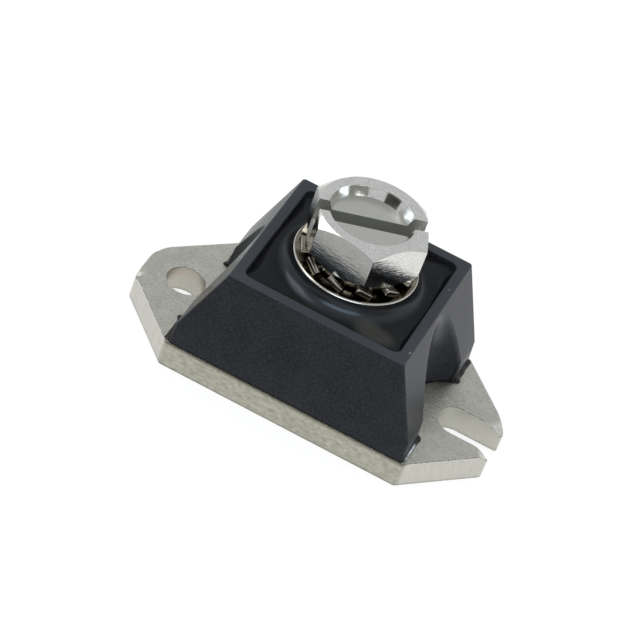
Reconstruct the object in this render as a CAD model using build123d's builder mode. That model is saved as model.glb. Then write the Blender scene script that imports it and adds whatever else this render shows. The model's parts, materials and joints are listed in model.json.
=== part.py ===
from build123d import *
from math import atan2, cos, radians, sin, sqrt, tan
import os

# A single power Schottky rectifier in a half-size screw-terminal module.
#
# The plated copper baseplate is one electrode and the mounting foot. A moulded housing
# stands on it in a glue line. The die sits on the plate between two molybdenum discs,
# under a soft gel, and hard epoxy above the gel carries the round threaded terminal,
# which is the other electrode and takes the customer's lug under its screw.
#
# Millimetres. The origin is the centre of the baseplate's underside, +Z points up and
# +X points to the slotted end.

# ---------------------------------------------------------------- driving dimensions
# Baseplate
base_length = 39.1
base_width = 18.8
base_thickness = 2.95
base_straight = 25.8            # straight part of the long sides, before the tapers
mount_spacing = 30.2            # round hole to the slot's round end, centre to centre
hole_diameter = 4.0
slot_width = 4.0
prong_flat = 0.5                # flat left at each side of the slot's mouth
shoulder_radius = 0.4           # plan rounding where the sides meet the tapers
base_roll_limit = 0.2           # bevel of the top edge that blanking rolls over
tip_rounding = 0.45             # share of a prong's flat that its outer corner may round off

# Housing
glue_line = 0.12
housing_end_ledge = 0.15        # how far each foot stops short of the baseplate's shoulder
housing_side_ledge = 0.1        # how far each long side stands back from the baseplate's edge
housing_height = 10.85
foot_height = 2.45              # upright foot under each slanted end wall
foot_lean = 0.15                # mould draft of the foot
rim_length = 18.7
rim_end_wall = 1.05
rim_side_wall = 1.2
cavity_corner_radius = 0.8
scallop_radius = 5.5            # room for a mounting screw's head and its driver
housing_edge_radius = 0.3
rim_edge_bevel = 0.12
bead_width = 0.4                # glue squeezed out in front of the feet
bead_height = 0.35

# Die stack, from the baseplate up
solder_thickness = 0.1
solder_fillet = 0.2             # how far the solder spreads past the piece above it
die_size = 7.2
die_thickness = 0.36
die_edge = 0.5                  # bare edge of the die round the upper disc
disc_margin = 0.2               # lower disc beyond the die's corners
lower_disc_thickness = 0.5
upper_disc_thickness = 0.4

# Flexible lead
lead_thickness = 0.4
lead_width = 4.0
lead_pad_reach = 2.2            # free end of each pad, from the centre line
lead_bend_reach = 1.9           # start of each fold, from the centre line

# Terminal post
terminal_diameter = 12.6
terminal_top = 15.3             # height of the lug face above the baseplate's underside
terminal_length = 8.2
terminal_edge = 0.25            # chamfer round the lug face
grip_groove_width = 1.1
grip_groove_depth = 0.7
grip_groove_count = 2
grip_flat_depth = 0.8           # flats that stop the post turning in the epoxy
grip_flat_height = 1.6
bore_depth = 7.3
bore_mouth = 0.3                # countersink at the thread's mouth

# Fills
gel_depth = 3.25
epoxy_recess = 0.55             # epoxy surface below the rim
meniscus_reach_limit = 1.7      # how far out the epoxy climbs towards the post

# Screw, 1/4-20 with an indented hex head
thread_diameter = 6.3
thread_clearance = 0.05
screw_length = 7.94
screw_tip_chamfer = 0.6
head_across_flats = 10.8
head_height = 4.5
head_bearing_radius = 5.3
head_lower_chamfer = 0.8
head_top_radius = 5.42
head_upper_chamfer = 0.65
head_turn = -6.2                # where the tightened head stopped, in degrees
dish_radius = 4.3
dish_depth = 1.03
dish_floor_bevel = 0.45
dish_centre = (-0.1, -0.15)     # the punch that dished the head struck a little off centre
driver_slot_width = 1.55
driver_slot_depth = 2.4
driver_slot_turn = 24.0

# Lock washer, external teeth
tooth_count = 12
tooth_width = 1.75
tooth_twist = 24.0
tooth_phase = -2.0
washer_thickness = 0.6
washer_bore_radius = 3.35
washer_ring_radius = 4.7
washer_tip_radius = 5.85
tooth_twist_length = 0.2        # how far past the ring's edge a tooth has its full twist
tooth_root_depth = 0.5          # how far inside the ring's edge a tooth starts
tooth_root_share = 0.7          # size of its root, as a share of its full section

# ---------------------------------------------------------------- derived sizes
half_length = base_length / 2
half_width = base_width / 2
half_straight = base_straight / 2
half_tip = slot_width / 2 + prong_flat
taper_turn = atan2(half_length - half_straight, half_width - half_tip)
mouth_radius = prong_flat / 2
tip_radius = tip_rounding * prong_flat / tan(taper_turn / 2)
base_roll = min(base_roll_limit, 0.8 * mouth_radius, 0.5 * shoulder_radius)

housing_length = base_straight - 2 * housing_end_ledge
housing_width = base_width - 2 * housing_side_ledge
housing_foot = base_thickness + glue_line
rim_top = housing_foot + housing_height
cavity_length = rim_length - 2 * rim_end_wall
cavity_width = housing_width - 2 * rim_side_wall

lower_disc_diameter = die_size * sqrt(2) + 2 * disc_margin
upper_disc_diameter = die_size - 2 * die_edge
lower_disc_bottom = base_thickness + solder_thickness
die_solder_bottom = lower_disc_bottom + lower_disc_thickness
die_bottom = die_solder_bottom + solder_thickness
top_solder_bottom = die_bottom + die_thickness
upper_disc_bottom = top_solder_bottom + solder_thickness
lead_solder_bottom = upper_disc_bottom + upper_disc_thickness
lead_bottom = lead_solder_bottom + solder_thickness

terminal_radius = terminal_diameter / 2
terminal_bottom = terminal_top - terminal_length
gel_top = base_thickness + gel_depth
epoxy_top = rim_top - epoxy_recess

tooth_lift = tooth_width * sin(radians(tooth_twist)) + washer_thickness * cos(radians(tooth_twist))
washer_middle = terminal_top + tooth_lift / 2
head_bottom = terminal_top + tooth_lift
head_top = head_bottom + head_height
head_corner_radius = head_across_flats / sqrt(3)

os.makedirs("parts", exist_ok=True)


def save(piece, name):
    """Name a finished piece and write its STEP file."""
    piece.part.label = name
    export_step(piece.part, f"parts/{name}.step")


# ---------------------------------------------------------------- baseplate
# Blanked from copper strip and nickel plated. Both ends taper to a short flat; the
# flat at the slotted end is cut through, which leaves two prongs.
with BuildPart() as baseplate:
    with BuildSketch() as base_outline:
        with BuildLine():
            Polyline(
                (half_straight, half_width),
                (half_length, half_tip),
                (half_length, -half_tip),
                (half_straight, -half_width),
                (-half_straight, -half_width),
                (-half_length, -half_tip),
                (-half_length, half_tip),
                (-half_straight, half_width),
                close=True,
            )
        make_face()
        tips = base_outline.vertices().group_by(Axis.X)
        shoulders = tips[1] + tips[-2]
        fillet(tips[0] + tips[-1], tip_radius)
        fillet(shoulders, shoulder_radius)
        with Locations((-mount_spacing / 2, 0)):
            Circle(hole_diameter / 2, mode=Mode.SUBTRACT)
        with Locations((mount_spacing / 2, 0)):
            Circle(slot_width / 2, mode=Mode.SUBTRACT)
            Rectangle(
                half_length - mount_spacing / 2,
                slot_width,
                align=(Align.MIN, Align.CENTER),
                mode=Mode.SUBTRACT,
            )
        mouth = [v for v in base_outline.vertices() if abs(abs(v.Y) - slot_width / 2) < 1e-6]
        fillet(ShapeList(mouth).group_by(Axis.X)[-1], mouth_radius)
    extrude(amount=base_thickness)
    chamfer(baseplate.faces().sort_by(Axis.Z)[-1].edges(), base_roll)
save(baseplate, "baseplate")

# ---------------------------------------------------------------- housing cavity
# The straight opening through the housing. The fills are cut from the same form, so
# that they meet the walls.
with BuildPart() as cavity:
    with BuildSketch(Plane.XY.offset(base_thickness)):
        RectangleRounded(cavity_length, cavity_width, cavity_corner_radius)
    extrude(amount=rim_top - base_thickness)

# ---------------------------------------------------------------- housing
# One moulded wall, open at top and bottom. The long sides are upright, the ends slant
# in from an upright foot, and a scallop in each end clears the mounting screw's head.
with BuildPart() as housing:
    with BuildSketch(Plane.XZ) as end_profile:
        foot_x = housing_length / 2
        kink_x = foot_x - foot_lean
        kink_z = housing_foot + foot_height
        rim_x = rim_length / 2
        with BuildLine():
            Polyline(
                (foot_x, housing_foot),
                (kink_x, kink_z),
                (rim_x, rim_top),
                (-rim_x, rim_top),
                (-kink_x, kink_z),
                (-foot_x, housing_foot),
                close=True,
            )
        make_face()
    extrude(amount=housing_width / 2, both=True)
    corner_edges = housing.edges().filter_by(Axis.X, reverse=True).filter_by(Axis.Y, reverse=True)
    fillet(corner_edges, housing_edge_radius)
    with Locations((-mount_spacing / 2, 0, housing_foot), (mount_spacing / 2, 0, housing_foot)):
        Cylinder(
            scallop_radius,
            housing_height,
            align=(Align.CENTER, Align.CENTER, Align.MIN),
            mode=Mode.SUBTRACT,
        )
    add(cavity.part, mode=Mode.SUBTRACT)
    chamfer(housing.faces().sort_by(Axis.Z)[-1].inner_wires().edges(), rim_edge_bevel)
save(housing, "housing")

# ---------------------------------------------------------------- adhesive bead
# The glue line has the plan of the housing's foot. What was squeezed out stands as a
# small wedge in front of each of the four feet, beside the scallops.
with BuildPart() as adhesive_bead:
    with BuildSketch(Plane.XY.offset(base_thickness)):
        RectangleRounded(housing_length, housing_width, housing_edge_radius)
        with Locations((-mount_spacing / 2, 0), (mount_spacing / 2, 0)):
            Circle(scallop_radius, mode=Mode.SUBTRACT)
    extrude(amount=glue_line)
    scallop_depth = mount_spacing / 2 - foot_x
    bead_start = sqrt(max(scallop_radius**2 - scallop_depth**2, 0))
    bead_end = housing_width / 2 - housing_edge_radius
    bead_top = housing_foot + bead_height
    bead_back = foot_x - foot_lean * bead_height / foot_height
    for end in (-1, 1):
        for side in (-1, 1):
            with BuildSketch(Plane.XZ.offset(-side * (bead_start + bead_end) / 2)):
                with BuildLine():
                    Polyline(
                        (end * foot_x, base_thickness),
                        (end * (foot_x + bead_width), base_thickness),
                        (end * bead_back, bead_top),
                        (end * foot_x, housing_foot),
                        close=True,
                    )
                make_face()
            extrude(amount=(bead_end - bead_start) / 2, both=True)
    add(cavity.part, mode=Mode.SUBTRACT)
save(adhesive_bead, "adhesive_bead")


# ---------------------------------------------------------------- die stack
def stack_disc(diameter, thickness, bottom, spread=0):
    """A disc on the centre line, whose foot may spread out as a solder fillet does."""
    with BuildPart() as disc:
        with BuildSketch(Plane.XZ):
            with BuildLine():
                Polyline(
                    (0, bottom),
                    (diameter / 2 + spread, bottom),
                    (diameter / 2, bottom + thickness),
                    (0, bottom + thickness),
                    close=True,
                )
            make_face()
        revolve(axis=Axis.Z)
    return disc


def stack_plate(length, width, thickness, bottom, centre_x=0):
    """A rectangular plate or solder patch, centred on the die's middle line."""
    with BuildPart() as plate:
        with Locations((centre_x, 0, bottom)):
            Box(length, width, thickness, align=(Align.CENTER, Align.CENTER, Align.MIN))
    return plate


base_solder = stack_disc(lower_disc_diameter, solder_thickness, base_thickness, solder_fillet)
lower_buffer_disc = stack_disc(lower_disc_diameter, lower_disc_thickness, lower_disc_bottom)
die_solder = stack_plate(die_size, die_size, solder_thickness, die_solder_bottom)
schottky_die = stack_plate(die_size, die_size, die_thickness, die_bottom)
top_solder = stack_disc(upper_disc_diameter, solder_thickness, top_solder_bottom)
upper_buffer_disc = stack_disc(upper_disc_diameter, upper_disc_thickness, upper_disc_bottom)
lead_solder = stack_plate(
    lead_pad_reach + lead_bend_reach,
    lead_width,
    solder_thickness,
    lead_solder_bottom,
    (lead_bend_reach - lead_pad_reach) / 2,
)
save(base_solder, "base_solder")
save(lower_buffer_disc, "lower_buffer_disc")
save(die_solder, "die_solder")
save(schottky_die, "schottky_die")
save(top_solder, "top_solder")
save(upper_buffer_disc, "upper_buffer_disc")
save(lead_solder, "lead_solder")

# ---------------------------------------------------------------- flexible lead
# One copper strip folded into an S: the lower pad is soldered to the disc, the upper
# pad is brazed to the post's underside, and the folds between them can give.
fold_pitch = (terminal_bottom - lead_bottom - lead_thickness) / 2
lower_run = lead_bottom + lead_thickness / 2
middle_run = lower_run + fold_pitch
upper_run = middle_run + fold_pitch
with BuildPart() as flex_lead:
    with BuildLine(Plane.XZ) as lead_path:
        Line((-lead_pad_reach, lower_run), (lead_bend_reach, lower_run))
        ThreePointArc(
            (lead_bend_reach, lower_run),
            (lead_bend_reach + fold_pitch / 2, (lower_run + middle_run) / 2),
            (lead_bend_reach, middle_run),
        )
        Line((lead_bend_reach, middle_run), (-lead_bend_reach, middle_run))
        ThreePointArc(
            (-lead_bend_reach, middle_run),
            (-lead_bend_reach - fold_pitch / 2, (middle_run + upper_run) / 2),
            (-lead_bend_reach, upper_run),
        )
        Line((-lead_bend_reach, upper_run), (lead_pad_reach, upper_run))
    with BuildSketch(Plane(origin=(-lead_pad_reach, 0, lower_run), x_dir=(0, 1, 0), z_dir=(1, 0, 0))):
        Rectangle(lead_width, lead_thickness)
    sweep(path=lead_path.wires()[0])
save(flex_lead, "flex_lead")

# ---------------------------------------------------------------- terminal post
# Turned from bar. Two grooves and a pair of flats key it into the epoxy, and a blind
# tapped bore takes the screw.
with BuildPart() as terminal_blank:
    with Locations((0, 0, terminal_bottom)):
        Cylinder(terminal_radius, terminal_length, align=(Align.CENTER, Align.CENTER, Align.MIN))
    chamfer(terminal_blank.faces().sort_by(Axis.Z)[-1].edges(), terminal_edge)
    potted_height = epoxy_top - terminal_bottom - grip_flat_height
    groove_pitch = potted_height / (grip_groove_count + 0.5)
    for index in range(grip_groove_count):
        groove_z = terminal_bottom + grip_flat_height + groove_pitch * (index + 0.5)
        with BuildSketch(Plane.XY.offset(groove_z)):
            Circle(terminal_radius)
            Circle(terminal_radius - grip_groove_depth, mode=Mode.SUBTRACT)
        extrude(amount=grip_groove_width, mode=Mode.SUBTRACT)
    with BuildSketch(Plane.XY.offset(terminal_bottom)):
        with Locations((0, terminal_radius), (0, -terminal_radius)):
            Rectangle(terminal_diameter, 2 * grip_flat_depth)
    extrude(amount=grip_flat_height, mode=Mode.SUBTRACT)

bore_radius = thread_diameter / 2 + thread_clearance
with BuildPart() as terminal_post:
    add(terminal_blank.part)
    with BuildSketch(Plane.XY.offset(terminal_top)):
        Circle(bore_radius)
    extrude(amount=-bore_depth, mode=Mode.SUBTRACT)
    bore_rim = terminal_post.faces().sort_by(Axis.Z)[-1].inner_wires().edges()
    chamfer(bore_rim, bore_mouth)
save(terminal_post, "terminal_post")

# ---------------------------------------------------------------- silicone gel
# Poured over the die and the lower folds of the lead.
with BuildPart() as silicone_gel:
    with BuildSketch(Plane.XY.offset(base_thickness)):
        Rectangle(housing_length, housing_width)
    extrude(amount=gel_depth)
    add(cavity.part, mode=Mode.INTERSECT)
    for buried in (
        base_solder,
        lower_buffer_disc,
        die_solder,
        schottky_die,
        top_solder,
        upper_buffer_disc,
        lead_solder,
        flex_lead,
    ):
        add(buried.part, mode=Mode.SUBTRACT)
save(silicone_gel, "silicone_gel")

# ---------------------------------------------------------------- epoxy fill
# Cast on the gel to a little below the rim. It wets the post and climbs it nearly to
# the edge of the lug face.
meniscus_reach = min(meniscus_reach_limit, cavity_width / 2 - terminal_radius - rim_edge_bevel)
meniscus_rise = terminal_top - terminal_edge - epoxy_top
with BuildPart() as epoxy_fill:
    with BuildSketch(Plane.XY.offset(gel_top)):
        Rectangle(housing_length, housing_width)
    extrude(amount=epoxy_top - gel_top)
    add(cavity.part, mode=Mode.INTERSECT)
    with BuildSketch(Plane.XZ):
        with BuildLine():
            EllipticalCenterArc(
                (terminal_radius + meniscus_reach, epoxy_top + meniscus_rise),
                meniscus_reach,
                meniscus_rise,
                start_angle=180,
                arc_size=90,
            )
            Polyline(
                (terminal_radius + meniscus_reach, epoxy_top),
                (terminal_radius, epoxy_top),
                (terminal_radius, epoxy_top + meniscus_rise),
            )
        make_face()
    revolve(axis=Axis.Z)
    add(terminal_blank.part, mode=Mode.SUBTRACT)
    add(flex_lead.part, mode=Mode.SUBTRACT)
save(epoxy_fill, "epoxy_fill")

# ---------------------------------------------------------------- lock washer
# A flat ring whose outer teeth are twisted about their own radial lines, so that one
# corner of each bites the post below and the other bites the screw's head above. Each
# tooth grows out of the middle of the ring's edge and has its full twist just past it.
tooth_stations = (
    (washer_ring_radius - tooth_root_depth, 0, tooth_root_share),
    (washer_ring_radius + tooth_twist_length, -tooth_twist, 1),
    (washer_tip_radius + washer_thickness, -tooth_twist, 1),
)
with BuildPart() as washer_tooth:
    for station, twist, share in tooth_stations:
        with BuildSketch(Plane.YZ.offset(station)):
            with Locations((0, washer_middle)):
                Rectangle(tooth_width * share, washer_thickness * share, rotation=twist)
    loft(ruled=True)

with BuildPart() as lock_washer:
    with BuildSketch(Plane.XY.offset(washer_middle)):
        Circle(washer_ring_radius)
    extrude(amount=washer_thickness / 2, both=True)
    with PolarLocations(0, tooth_count, start_angle=tooth_phase):
        add(washer_tooth.part)
    with Locations((0, 0, washer_middle)):
        Cylinder(washer_tip_radius, 2 * tooth_lift, mode=Mode.INTERSECT)
        Cylinder(washer_bore_radius, 2 * tooth_lift, mode=Mode.SUBTRACT)
save(lock_washer, "lock_washer")

# ---------------------------------------------------------------- terminal screw
# Cold-headed: a hex with trimmed corners, a dished top and a driver slot across it.
with BuildPart() as terminal_screw:
    with BuildSketch(Plane.XY.offset(head_bottom)):
        RegularPolygon(head_across_flats / 2, 6, major_radius=False, rotation=head_turn)
    extrude(amount=head_height)
    with BuildSketch(Plane.XZ):
        with BuildLine():
            Polyline(
                (0, head_bottom),
                (head_bearing_radius, head_bottom),
                (head_corner_radius, head_bottom + head_lower_chamfer),
                (head_corner_radius, head_top - head_upper_chamfer),
                (head_top_radius, head_top),
                (0, head_top),
                close=True,
            )
        make_face()
    revolve(axis=Axis.Z, mode=Mode.INTERSECT)
    with Locations((dish_centre[0], dish_centre[1], head_top)):
        Cylinder(
            dish_radius,
            dish_depth - dish_floor_bevel,
            align=(Align.CENTER, Align.CENTER, Align.MAX),
            mode=Mode.SUBTRACT,
        )
    with Locations((dish_centre[0], dish_centre[1], head_top - dish_depth)):
        Cone(
            dish_radius - dish_floor_bevel,
            dish_radius,
            dish_floor_bevel,
            align=(Align.CENTER, Align.CENTER, Align.MIN),
            mode=Mode.SUBTRACT,
        )
    with BuildSketch(Plane.XY.offset(head_top)):
        with Locations(dish_centre):
            Rectangle(3 * head_corner_radius, driver_slot_width, rotation=driver_slot_turn)
    extrude(amount=-driver_slot_depth, mode=Mode.SUBTRACT)
    with BuildSketch(Plane.XY.offset(head_bottom)):
        Circle(thread_diameter / 2)
    extrude(amount=-screw_length)
    chamfer(terminal_screw.faces().sort_by(Axis.Z)[0].edges(), screw_tip_chamfer)
save(terminal_screw, "terminal_screw")
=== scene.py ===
import json
from math import atan2, cos, pi, radians, sin, sqrt, tan

import bmesh
import bpy
from mathutils import Matrix, Vector


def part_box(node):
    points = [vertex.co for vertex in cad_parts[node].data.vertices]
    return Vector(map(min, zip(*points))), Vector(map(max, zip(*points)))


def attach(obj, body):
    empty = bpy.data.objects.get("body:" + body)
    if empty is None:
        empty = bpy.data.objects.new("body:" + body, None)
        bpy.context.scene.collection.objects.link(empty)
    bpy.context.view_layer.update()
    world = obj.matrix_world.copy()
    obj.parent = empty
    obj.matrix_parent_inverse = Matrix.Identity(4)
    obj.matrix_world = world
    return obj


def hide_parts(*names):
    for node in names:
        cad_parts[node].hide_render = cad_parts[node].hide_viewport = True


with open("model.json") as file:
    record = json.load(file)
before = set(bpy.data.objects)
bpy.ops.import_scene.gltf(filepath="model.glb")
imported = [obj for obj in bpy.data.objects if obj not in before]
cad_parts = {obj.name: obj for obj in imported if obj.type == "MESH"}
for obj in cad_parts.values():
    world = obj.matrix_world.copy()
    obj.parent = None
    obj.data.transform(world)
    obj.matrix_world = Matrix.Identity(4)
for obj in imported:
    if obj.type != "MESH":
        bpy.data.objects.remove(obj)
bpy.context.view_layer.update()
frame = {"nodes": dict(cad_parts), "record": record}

# ---------------------------------------------------------------- baseplate
# Copper strip, blanked in one stroke and nickel plated. The punch drew its top edges
# down, most of all at the narrow corners of the tips. It carries everything else, and is
# held down by screws through its round hole and its slot.
mm = 0.001
plate_low, plate_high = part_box("baseplate")
mounts = {mount["name"]: mount for mount in frame["record"]["mounts"]}
hole_x = mounts["mount_hole"]["pos_m"][0]
slot_x = mounts["mount_slot"]["pos_m"][0]
hole_radius = mounts["mount_hole"]["dims"]["r_mm"] * mm
plate_thickness = plate_high.z
plate_width = plate_high.y - plate_low.y
straight_length = 25.8 * mm
tip_width = 5.0 * mm
taper_length = plate_high.x - straight_length / 2
tip_turn = atan2(taper_length, (plate_width - tip_width) / 2)
shoulder_radius = 0.4 * mm
tip_radius = 0.557 * mm
mouth_radius = 0.25 * mm
edge_roll = 0.05 * mm
burr_bevel = 0.06 * mm


def choose(*pieces):
    """Select these pieces and nothing else, with the last one active."""
    bpy.ops.object.select_all(action="DESELECT")
    for piece in pieces:
        piece.select_set(True)
        bpy.context.view_layer.objects.active = piece


def open_for_edit(piece):
    """Open one piece in edit mode, with nothing selected."""
    choose(piece)
    bpy.ops.object.mode_set(mode="EDIT")
    bpy.ops.mesh.select_all(action="DESELECT")


def close_edit():
    bpy.ops.object.mode_set(mode="OBJECT")


def pick_all():
    bpy.ops.mesh.select_all(action="SELECT")


def pick(kind, test):
    """Select the open piece's faces, edges or corners that pass the test, and nothing else."""
    bpy.ops.mesh.select_mode(type={"faces": "FACE", "edges": "EDGE", "verts": "VERT"}[kind])
    bpy.ops.mesh.select_all(action="DESELECT")
    mesh = bpy.context.object.data
    shape = bmesh.from_edit_mesh(mesh)
    for part in getattr(shape, kind):
        if test(part):
            part.select_set(True)
    shape.select_flush_mode()
    bmesh.update_edit_mesh(mesh)


def round_off(size, steps):
    """Bevel the selected edges."""
    bpy.ops.mesh.bevel(offset=size, segments=steps, affect="EDGES")


def pull_out(along_x, along_y, along_z):
    """Extrude the selection by one straight step."""
    bpy.ops.mesh.extrude_region_move(
        TRANSFORM_OT_translate={"value": (along_x, along_y, along_z)}
    )


def squeeze(shares, centre=(0, 0, 0)):
    """Scale the selection from a fixed point."""
    bpy.ops.transform.resize(value=shares, center_override=centre)


def slice_at(point, direction, **cut):
    """Cut the selected faces along a plane."""
    bpy.ops.mesh.bisect(plane_co=point, plane_no=direction, threshold=1e-7, **cut)


def merge_flats():
    """Take the lines out of the selection's flat faces."""
    bpy.ops.mesh.dissolve_limited(angle_limit=radians(0.2))


def middle(part):
    """The mean of an edge's or a face's corners."""
    return sum((corner.co for corner in part.verts), Vector()) / len(part.verts)


def upright(edge):
    """True for an edge that runs along Z."""
    along = edge.verts[1].co - edge.verts[0].co
    return abs(along.z) > 0.999 * along.length


def settle(name):
    """Name the piece that was just added, and move its place and turn into its mesh."""
    bpy.ops.object.transform_apply(location=True, rotation=True, scale=True)
    bpy.context.object.name = name
    return bpy.context.object


def add_block(name, low, high):
    """A closed box between two corners, with its place in its mesh."""
    low, high = Vector(low), Vector(high)
    bpy.ops.mesh.primitive_cube_add(size=1, location=(low + high) / 2, scale=high - low)
    return settle(name)


def add_round_bar(name, radius, bottom, top, centre_x=0, facets=96):
    """A closed upright cylinder, with its place in its mesh."""
    bpy.ops.mesh.primitive_cylinder_add(
        vertices=facets,
        radius=radius,
        depth=top - bottom,
        location=(centre_x, 0, (bottom + top) / 2),
    )
    return settle(name)


def apply_modifier(piece, kind, **settings):
    """Add one modifier to the piece and apply it."""
    modifier = piece.modifiers.new(kind.lower(), kind)
    for name, value in settings.items():
        setattr(modifier, name, value)
    choose(piece)
    bpy.ops.object.modifier_apply(modifier=modifier.name)


def combine(piece, tool, operation="DIFFERENCE"):
    """Cut the piece with the tool, or join the two, and throw the tool away."""
    apply_modifier(piece, "BOOLEAN", operation=operation, object=tool, solver="EXACT")
    bpy.data.objects.remove(tool)
    open_for_edit(piece)
    pick_all()
    merge_flats()
    close_edit()


plate = add_block(
    "plated_base",
    (-straight_length / 2, plate_low.y, 0),
    (straight_length / 2, plate_high.y, plate_thickness),
)
open_for_edit(plate)
for end in (-1, 1):
    pick("faces", lambda face: face.normal.x * end > 0.9)
    pull_out(end * taper_length, 0, 0)
    squeeze((1, tip_width / plate_width, 1))
pick_all()
merge_flats()
pick("edges", lambda edge: upright(edge) and abs(middle(edge).x) < straight_length / 2 + mm)
round_off(shoulder_radius * tan((pi / 2 - tip_turn) / 2), 6)
pick("edges", lambda edge: upright(edge) and abs(middle(edge).x) > plate_high.x - 0.01 * mm)
round_off(tip_radius * tan(tip_turn / 2), 8)
close_edit()

combine(plate, add_round_bar("punch", hole_radius, -mm, plate_thickness + mm, hole_x))
slot_punch = add_round_bar("punch", hole_radius, -mm, plate_thickness + mm, slot_x)
open_for_edit(slot_punch)
pick("verts", lambda corner: corner.co.x > slot_x + 0.01 * mm)
bpy.ops.transform.translate(value=(plate_high.x - slot_x, 0, 0))
close_edit()
combine(plate, slot_punch)

open_for_edit(plate)
pick("edges", lambda edge: upright(edge) and middle(edge).x > plate_high.x - 0.01 * mm
     and abs(middle(edge).y) < hole_radius + 0.1 * mm)
round_off(mouth_radius, 6)


def rim_edge(edge, side):
    """True for an edge between a wall and the flat that faces up (1) or down (-1)."""
    lifts = sorted(abs(face.normal.z) for face in edge.link_faces)
    flats = [face for face in edge.link_faces if face.normal.z * side > 0.9]
    return len(flats) == 1 and lifts[0] < 0.1


pick("edges", lambda edge: rim_edge(edge, 1))
round_off(edge_roll, 3)
pick("edges", lambda edge: rim_edge(edge, -1))
round_off(burr_bevel, 2)

# Each tip is ruled into small squares, so that its corners can be drawn down smoothly.
droop_start = 17.3 * mm
ruling = 0.3 * mm
rows_beside_middle = 18
for end in (-1, 1):
    for line in range(int((plate_high.x - droop_start) / ruling) + 1):
        pick_all()
        slice_at((end * (droop_start + line * ruling), 0, 0), (1, 0, 0))
for line in range(-rows_beside_middle, rows_beside_middle):
    pick("faces", lambda face: abs(middle(face).x) > droop_start)
    slice_at((0, (line + 0.5) * ruling, 0), (0, 1, 0))

for tip_x, tip_y, droop, reach in (
    (plate_low.x, -tip_width / 2, 0.45 * mm, 1.4 * mm),
    (plate_low.x, tip_width / 2, 0.45 * mm, 1.4 * mm),
    (plate_high.x, -hole_radius, 0.8 * mm, 1.7 * mm),
    (plate_high.x, hole_radius, 0.95 * mm, 2.5 * mm),
):
    tip = Vector((tip_x, tip_y, plate_thickness))
    pick("verts", lambda corner: (corner.co - tip).length < 0.35 * mm)
    bpy.ops.transform.translate(
        value=(0, 0, -droop),
        use_proportional_edit=True,
        proportional_edit_falloff="SHARP",
        proportional_size=reach,
    )
close_edit()


def shade_crisp(piece, angle):
    """Smooth the piece's rounds up to an angle in degrees, and keep its flats flat."""
    choose(piece)
    bpy.ops.object.shade_smooth_by_angle(angle=radians(angle))
    apply_modifier(piece, "WEIGHTED_NORMAL", mode="FACE_AREA", weight=50, keep_sharp=True)


shade_crisp(plate, 12)


def new_finish(name, **shader_settings):
    """A node material, with what is the same all over set on its shader."""
    finish = bpy.data.materials.new(name)
    finish.use_nodes = True
    shader = finish.node_tree.nodes["Principled BSDF"]
    for socket, value in shader_settings.items():
        shader.inputs[socket.replace("_", " ")].default_value = value
    return finish


def node(finish, kind, output=0, settings=None, **inputs):
    """Add one shader node, with its inputs set or linked by name, and return its output."""
    made = finish.node_tree.nodes.new("ShaderNode" + kind)
    for name, value in (settings or {}).items():
        setattr(made, name, value)
    for socket, value in inputs.items():
        socket = int(socket[1:]) if socket[0] == "_" else socket.replace("_", " ")
        if isinstance(value, bpy.types.NodeSocket):
            finish.node_tree.links.new(value, made.inputs[socket])
        else:
            made.inputs[socket].default_value = value
    return made.outputs[output]


def reckon(finish, operation, *values):
    """One sum on up to three values, under Blender's name for it."""
    return node(finish, "Math", 0, {"operation": operation},
                **{f"_{socket}": value for socket, value in enumerate(values)})


def overlap(finish, share, *others):
    """Shares multiplied in turn, which leaves 1 only where all of them are 1."""
    for other in others:
        share = reckon(finish, "MULTIPLY", share, other)
    return share


def blend(finish, share, first, second):
    """A value between two, at the given share of the second."""
    return node(finish, "Mix", 0, _0=share, _2=first, _3=second)


def along(finish, axis, vector):
    """A vector's part along one axis."""
    return node(finish, "SeparateXYZ", "XYZ".index(axis), Vector=vector)


def lean(finish, axis="Z"):
    """How far the surface faces along an axis, from -1 to 1."""
    return along(finish, axis, node(finish, "NewGeometry", 1))


def relief(finish, strength, depth, height):
    """The normal of a surface that is raised by the height times the depth in metres."""
    return node(finish, "Bump", 0, Strength=strength, Distance=depth, Height=height)


def link_shader(finish, **inputs):
    """Link values that vary over the surface to the finish's shader."""
    shader = finish.node_tree.nodes["Principled BSDF"]
    for socket, value in inputs.items():
        finish.node_tree.links.new(value, shader.inputs[socket.replace("_", " ")])


def place(finish, centre=(0, 0, 0), stretch=(1, 1, 1)):
    """The object's own coordinates, from a centre, and squeezed or stretched."""
    here = node(finish, "TexCoord", 3)
    return node(finish, "Mapping", Vector=here, Scale=stretch,
                Location=[-c * share for c, share in zip(centre, stretch)])


def distance_from(finish, centre, stretch=(1, 1, 1)):
    """Distance in metres from a point, or from a line through it where a stretch is 0."""
    return node(finish, "VectorMath", 1, {"operation": "LENGTH"},
                _0=place(finish, centre, stretch))


def speckle(finish, size, detail=4.0, roughness=0.5, where=None, distortion=0.0):
    """Noise with features of the given size in metres, from 0 to 1."""
    where = where or place(finish)
    return node(finish, "TexNoise", 0, Vector=where, Scale=1 / size, Detail=detail,
                Roughness=roughness, Distortion=distortion)


def spread(finish, value, low, high, new_low=0.0, new_high=1.0):
    """The value's range from low to high, drawn out to a new range and held inside it."""
    return node(finish, "MapRange", 0, Value=value, From_Min=low, From_Max=high,
                To_Min=new_low, To_Max=new_high)


def tint(finish, share, first, second):
    """A colour between two, at the given share of the second."""
    return node(finish, "Mix", 2, {"data_type": "RGBA"}, _0=share, _6=first, _7=second)


def facing_up(finish):
    """1 on level surfaces that look up, and 0 on walls."""
    return spread(finish, lean(finish), 0.5, 0.9)


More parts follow.
